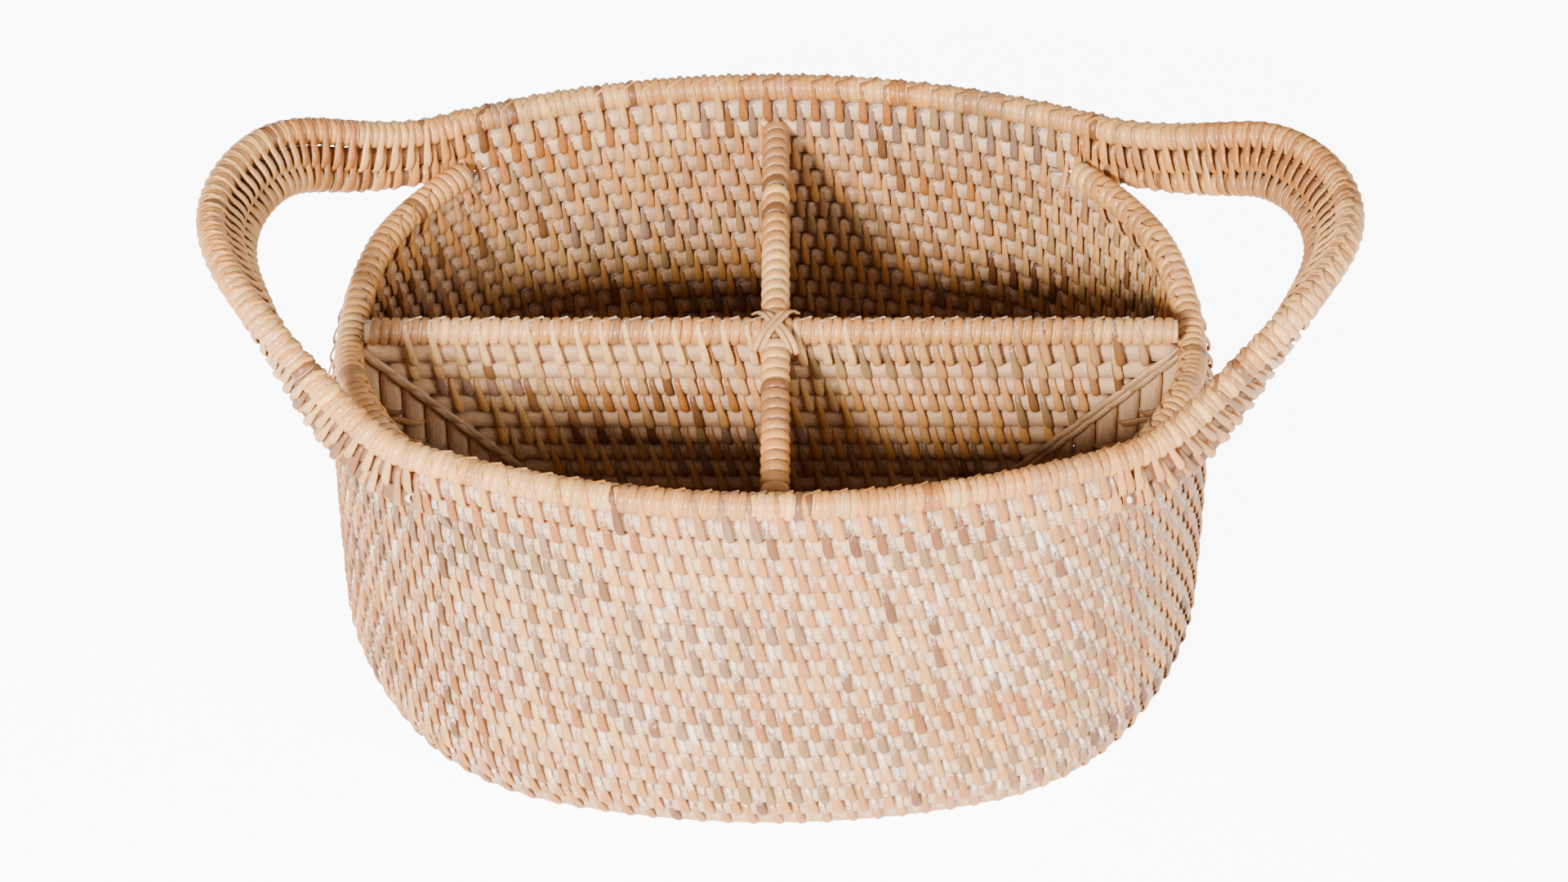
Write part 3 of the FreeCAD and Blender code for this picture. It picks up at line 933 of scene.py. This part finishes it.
def build_side_rims():
    mix = {"honey": 0.42, "straw": 0.24, "tan": 0.24, "lilac": 0.10}
    ring = wall[COURSES]
    for label, quarter in (("left", 0.75), ("right", 0.25)):
        lane = side_lane(1 if label == "right" else -1)
        node = f"side_rim_{label}"
        round_rod(f"side_{label}_rod", node, lane, 160, 0.0040, 0.3)
        count = int(lane.length / 0.0036)
        place = (np.arange(count) + 0.5) * lane.length / count
        wraps(f"side_{label}_wraps", node, lane, place, (0.0041, 0.0034), mix, 0.0007, 0.0010)
        count = 18
        place = (np.arange(count) - (count - 1) / 2) * 0.0088
        heap = Heap()
        top_at = lane.length / 2 + place
        below_at = ring.length * quarter + place
        wash = LOOP_WASH * 0.3
        half = CORE_HALF * 1.2
        sew(heap, lane, ring, top_at, below_at, half, mix, wash=wash, inner=LOOP_INNER)
        heap.build(f"side_{label}_stitches", "cane_stitch", node)


build_side_rims()


# ---------------------------------------------------------------- dividers
DIVIDER_PITCH = 0.0073
DIVIDER_HALF = 0.0030
COILS = 16
COIL_HALF = 0.0036
COIL_GAP = 0.0002
COIL_STEP = 0.605
COIL_STITCH = 0.0086
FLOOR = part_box("cross_divider")[0].z
TOP_ROD_Z = DIVIDER_TOP - DIVIDER_RADIUS
ARCH_CORNER = 0.004
MITRES = 12


def coil_level(number):
    """Height of the middle of a divider's coil, counted down from the top rod."""
    return TOP_ROD_Z - DIVIDER_RADIUS - DIVIDER_PITCH * (number + 0.5)


def arch_lane(half_width, top):
    """Upright, level and upright run of one nested coil of the cross divider."""
    bottom = FLOOR + 0.001
    corner = min(ARCH_CORNER, half_width * 0.5)
    flat = [[-half_width, bottom]]
    for centre_x, start, end in ((-half_width + corner, 180, 90), (half_width - corner, 90, 0)):
        for angle in np.radians(np.linspace(start, end, 7)):
            flat.append([centre_x + corner * np.cos(angle), top - corner + corner * np.sin(angle)])
    flat.append([half_width, bottom])
    flat = np.array(flat)
    fine = []
    for first, last in zip(flat[:-1], flat[1:]):
        steps = max(2, int(np.linalg.norm(last - first) / 0.002))
        fine.append(first + (last - first) * np.linspace(0, 1, steps, endpoint=False)[:, None])
    flat = np.vstack(fine + [flat[-1:]])
    tangent = unit(np.gradient(flat, axis=0))
    zero = np.zeros(len(flat))
    points = np.column_stack([flat[:, 0], np.full(len(flat), CROSS_Y), flat[:, 1]])
    upward = np.column_stack([-tangent[:, 1], zero, tangent[:, 0]])
    return Lane(points, [0.0, -1.0, 0.0], upward, closed=False)


def cross_coils(lanes):
    heap = Heap()
    for lane in lanes:
        distance = np.arange(0, lane.length, 0.0022)
        ripple = 0.94 + 0.06 * np.abs(np.sin(distance / 0.0088 * 2 * np.pi))
        half = DIVIDER_HALF * ripple
        rod(heap, lane, distance, half, COIL_HALF, CORE_TINT, 0.1, power=2.3, inner="all")
    heap.build("cross_divider_rods", "rattan_core", "cross_divider")


def cross_stitches(lanes, half):
    """Stitches between the coils: along the level runs, then up both ends."""
    heap = Heap()
    for number, (lane, below) in enumerate(zip(lanes[:-1], lanes[1:])):
        half_level = half - COIL_HALF - number * DIVIDER_PITCH
        reach = half_level - DIVIDER_PITCH * 1.35
        step = (number * COIL_STEP) % 1.0
        count = int(2 * reach / COIL_STITCH)
        along = (np.arange(count) + step - count / 2) * COIL_STITCH
        along = along[np.abs(along) < reach]
        top_at = lane.length / 2 + along
        below_at = below.length / 2 + along
        sew(heap, lane, below, top_at, below_at, DIVIDER_HALF, WALL_MIX, inner=ALL_IN)
        upright = lane.length / 2 - half_level
        lower_upright = below.length / 2 - (half_level - DIVIDER_PITCH)
        count = int((min(upright, lower_upright) - 0.006) / COIL_STITCH)
        if count < 1:
            continue
        foot = 0.004 + (np.arange(count) + step * 0.8) * COIL_STITCH
        for top_at, below_at, lean in (
            (foot, foot, -LEAN),
            (lane.length - foot, below.length - foot, LEAN),
        ):
            sew(heap, lane, below, top_at, below_at, DIVIDER_HALF, WALL_MIX, lean, inner=ALL_IN)
    heap.build("cross_divider_stitches", "cane_stitch", "cross_divider")


def cross_mitres(half):
    """Pairs of long slanting stitches over the corners of the nested coils, on both faces."""
    heap = Heap()
    share = np.linspace(0, 1, 9)
    bow = np.sin(np.pi * share)
    width = (1.3 + 1.4 * bow) / 1000
    pairs = [(face, twin) for face in (-1, 1) for twin in (-0.0012, 0.0012)]
    for side in (-1, 1):
        for number in range(MITRES):
            outer = half - COIL_HALF - number * DIVIDER_PITCH
            for face, twin in pairs:
                x = side * (outer + 0.002 - share * DIVIDER_PITCH * 1.9 + twin)
                z = coil_level(number) + 0.003 - share * DIVIDER_PITCH * 1.75 - side * twin * 0.4
                y = CROSS_Y + face * (DIVIDER_HALF * 0.75 + 0.0016 * bow + 0.0004)
                path = np.stack([x, y, z], -1)[None]
                normal = np.tile([0.0, float(face), 0.0], (1, len(share), 1))
                tint = SHADES["tan"] * rng.uniform(0.75, 1.05)
                ribbons(heap, path, normal, width[None], STRIP_THICKNESS, tint, 0.1, 0.3, False)
    heap.build("cross_divider_mitres", "cane_stitch", "cross_divider")


def cross_top(first):
    """The wrapped top rod of the cross divider, stitched to the first coil."""
    node = "cross_divider_rim"
    mix = {"honey": 0.6, "straw": 0.24, "orange": 0.04, "tan": 0.12}
    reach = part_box(node)[1].x + 0.0055
    points = np.array([[x, CROSS_Y, TOP_ROD_Z] for x in np.linspace(-reach, reach, 80)])
    lane = Lane(points, [0.0, -1.0, 0.0], closed=False)
    round_rod("cross_divider_top_rod", node, lane, 120, 0.0040, 0.1)
    covered = lane.length - 0.003
    count = int(covered / 0.0034)
    place = 0.0015 + (np.arange(count) + 0.5) * covered / count
    name = "cross_divider_top_wraps"
    wraps(name, node, lane, place, (0.0041, 0.0031), mix, 0.0006, 0.0008, HANDLE_SHADE)
    along = (np.arange(31) - 15) * 0.0083
    top_at = lane.length / 2 + along
    below_at = first.length / 2 + along
    heap = Heap()
    sew(heap, lane, first, top_at, below_at, DIVIDER_HALF * 1.42, mix, wash=LOOP_WASH * 0.6)
    heap.build("cross_divider_top_stitches", "cane_stitch", node)


def build_cross_divider():
    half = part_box("cross_divider")[1].x
    lanes = []
    for number in range(COILS):
        inward = COIL_HALF + number * DIVIDER_PITCH
        lanes.append(arch_lane(half - inward, coil_level(number) - COIL_GAP))
    cross_coils(lanes)
    cross_stitches(lanes, half)
    cross_mitres(half)
    cross_top(lanes[0])


def build_long_divider(label, side):
    """Level rods from the cross divider to the wall, under a thick wrapped top rod."""
    node = f"{label}_divider"
    near = CROSS_Y + side * DIVIDER_HALF
    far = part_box(node)[1 if side > 0 else 0].y

    def lane_at(start, end, z):
        ys = np.linspace(start, end, 60)
        points = np.column_stack([np.full(60, LONG_X), ys, np.full(60, z)])
        return Lane(points, [float(side), 0.0, 0.0], closed=False)

    lanes = []
    for number in range(COILS):
        reach = far if number < 13 else far - side * 0.0016
        lanes.append(lane_at(near, reach, coil_level(number) - COIL_GAP))
    heap = Heap()
    for lane in lanes:
        distance = np.linspace(0, lane.length, 48)
        rod(heap, lane, distance, DIVIDER_HALF, COIL_HALF, CORE_TINT, 0.1, power=2.3, inner="all")
    heap.build(f"{node}_rods", "rattan_core", node)
    heap = Heap()
    for number, (lane, below) in enumerate(zip(lanes[:-1], lanes[1:])):
        step = (number * COIL_STEP) % 1.0
        along = np.arange(0.006 + step * COIL_STITCH, lane.length - 0.006, COIL_STITCH)
        sew(heap, lane, below, along, along, DIVIDER_HALF, WALL_MIX, inner=ALL_IN)
    heap.build(f"{node}_stitches", "cane_stitch", node)
    top_lane = lane_at(CROSS_Y + side * 0.001, far + side * 0.001, TOP_ROD_Z)
    round_rod(f"{node}_top_rod", f"{node}_rim", top_lane, 60, 0.0038, 0.5)
    count = int(top_lane.length / 0.0052)
    place = (np.arange(count) + 0.6) * top_lane.length / count
    mix = {"honey": 0.45, "straw": 0.27, "tan": 0.28}
    name = f"{node}_top_wraps"
    size = (0.0037, 0.0050)
    wraps(name, f"{node}_rim", top_lane, place, size, mix, 0.0012, 0.0013, HANDLE_SHADE)


build_cross_divider()
build_long_divider("front", -1)
build_long_divider("back", 1)


def build_lashing():
    """Two pairs of cane straps crossed over the middle, with their ends going down the sides."""
    heap = Heap()
    share = np.linspace(-1, 1, 19)
    fall = np.clip((np.abs(share) - 0.35) / 0.65, 0, 1) ** 2 * 0.0050
    normal = np.zeros((1, len(share), 3))
    normal[0, :, 1] = share * 0.9
    normal[0, :, 2] = 1.0
    normal = unit(normal)
    tint = SHADES["honey"] * 0.95
    for turn in (-1, 1):
        for gap in (-0.0012, 0.0012):
            x = LONG_X + turn * share * 0.0062 + gap
            y = CROSS_Y - 0.002 + share * 0.0105
            z = DIVIDER_TOP + 0.0006 + 0.0006 * (turn > 0) - fall
            path = np.stack([x, y, z], -1)[None]
            ribbons(heap, path, normal, 0.0021, STRIP_THICKNESS, tint, 0.05, 0.1, False)
    heap.build("middle_lashing", "lashing", "cross_lashing")


build_lashing()


# ---------------------------------------------------------------- woven bottom
BOTTOM_RINGS = 14
BOTTOM_OVERHANG = 0.0022
BOTTOM_ROD_HALF = 0.0026
BOTTOM_STITCH = 0.0092


def build_bottom():
    """Oval coils laid flat, each stitched to its neighbour, seen inside and from below."""
    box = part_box("base_mat")
    outline, _ = oval(
        (HALF_LENGTH, HALF_DEPTH, FRONT_RADIUS, SIDE_RADIUS, FOOT_CORNER_RADIUS),
        box[1].x + BOTTOM_OVERHANG - HALF_LENGTH,
    )
    spine = np.zeros_like(outline)
    spine[:, 0] = outline[:, 0] * (box[1].x - box[1].y) / box[1].x
    pitch = box[1].y / (BOTTOM_RINGS + 0.1)
    outward = lift(unit(outline - spine), 0.0)
    lanes = []
    for number in range(BOTTOM_RINGS):
        share = 1 - (number + 0.5) * pitch / box[1].y
        flat = spine + (outline - spine) * share
        lanes.append(Lane(lift(flat, PITCH * 0.5), [0.0, 0.0, -1.0], outward))
    heap = Heap()
    for lane in lanes:
        distance = np.linspace(0, lane.length, max(60, int(lane.length / 0.002)), endpoint=False)
        half = (BOTTOM_ROD_HALF, pitch * 0.54)
        rod(heap, lane, distance, *half, CORE_TINT, 0.3, power=2.8, inner="all")
    heap.build("bottom_rods", "rattan_core", "base_mat")
    heap = Heap()
    for number, (lane, below) in enumerate(zip(lanes[:-1], lanes[1:])):
        count = int(lane.length / BOTTOM_STITCH)
        share = (np.arange(count) + number * 0.45) / count
        top_at = share * lane.length
        below_at = share * below.length
        sew(heap, lane, below, top_at, below_at, 0.0025, WALL_MIX, thickness=0.0005, shade=0.9)
    heap.build("bottom_stitches", "cane_stitch", "base_mat")


build_bottom()


# ---------------------------------------------------------------- stage, light and camera
FLOOR_GLOW = 0.9
FLOOR_GLOW_SEEN = 9.0
WORLD_COLOUR = (1.0, 0.99, 0.98, 1.0)
WORLD_STRENGTH = 0.48
LIGHT_TARGET = (0.0, 0.0, 0.08)
CAMERA_ELEVATION = math.radians(40.5)
CAMERA_DISTANCE = 1.55
CAMERA_AIM = (0.0044, -0.005, 0.0809)
SENSOR_WIDTH = 36.0
FOCAL_LENGTH = 102.54


def floor_material():
    """White sweep that glows a little, and much more where the camera sees it directly."""
    material = bpy.data.materials.new("floor_paper")
    material.use_nodes = True
    tree = material.node_tree
    shader = tree.nodes["Principled BSDF"]
    shader.inputs["Base Color"].default_value = (0.92, 0.92, 0.92, 1.0)
    shader.inputs["Roughness"].default_value = 0.9
    shader.inputs["Emission Color"].default_value = (1.0, 1.0, 1.0, 1.0)
    rays = tree.nodes.new("ShaderNodeLightPath")
    glow = tree.nodes.new("ShaderNodeMapRange")
    glow.inputs["To Min"].default_value = FLOOR_GLOW
    glow.inputs["To Max"].default_value = FLOOR_GLOW_SEEN
    tree.links.new(rays.outputs["Is Camera Ray"], glow.inputs["Value"])
    tree.links.new(glow.outputs["Result"], shader.inputs["Emission Strength"])
    return material


def build_stage():
    bpy.ops.object.select_all(action="DESELECT")
    bpy.ops.mesh.primitive_plane_add(size=12.0, location=(0.0, 0.0, -0.0006))
    floor = bpy.context.object
    floor.name = "floor"
    floor.data.materials.append(floor_material())


def area_light(name, place, size, power, colour):
    """A round lamp at place, turned to the middle of the object."""
    data = bpy.data.lights.new(name, "AREA")
    data.shape = "DISK"
    data.size = size
    data.energy = power
    data.color = colour
    light = bpy.data.objects.new(name, data)
    bpy.context.scene.collection.objects.link(light)
    light.location = place
    direction = np.array(LIGHT_TARGET) - np.array(place)
    pitch = math.atan2(math.hypot(direction[0], direction[1]), -direction[2])
    light.rotation_euler = (pitch, 0.0, math.atan2(direction[1], direction[0]) - math.pi / 2)


def build_light():
    world = bpy.data.worlds.new("studio")
    world.use_nodes = True
    background = world.node_tree.nodes["Background"]
    background.inputs["Color"].default_value = WORLD_COLOUR
    background.inputs["Strength"].default_value = WORLD_STRENGTH
    bpy.context.scene.world = world
    key_colour = (1.0, 0.98, 0.95)
    area_light("key", place=(-0.8, -1.9, 1.16), size=0.5, power=165.0, colour=key_colour)
    area_light("fill", place=(1.7, -1.5, 0.95), size=0.9, power=52.0, colour=(1.0, 1.0, 1.0))


def build_camera():
    data = bpy.data.cameras.new("camera")
    data.sensor_width = SENSOR_WIDTH
    data.lens = FOCAL_LENGTH
    data.clip_start = 0.05
    camera = bpy.data.objects.new("camera", data)
    bpy.context.scene.collection.objects.link(camera)
    camera.location = (
        CAMERA_AIM[0],
        CAMERA_AIM[1] - CAMERA_DISTANCE * math.cos(CAMERA_ELEVATION),
        CAMERA_AIM[2] + CAMERA_DISTANCE * math.sin(CAMERA_ELEVATION),
    )
    camera.rotation_euler = (math.pi / 2 - CAMERA_ELEVATION, 0.0, 0.0)
    bpy.context.scene.camera = camera


build_stage()
build_light()
build_camera()
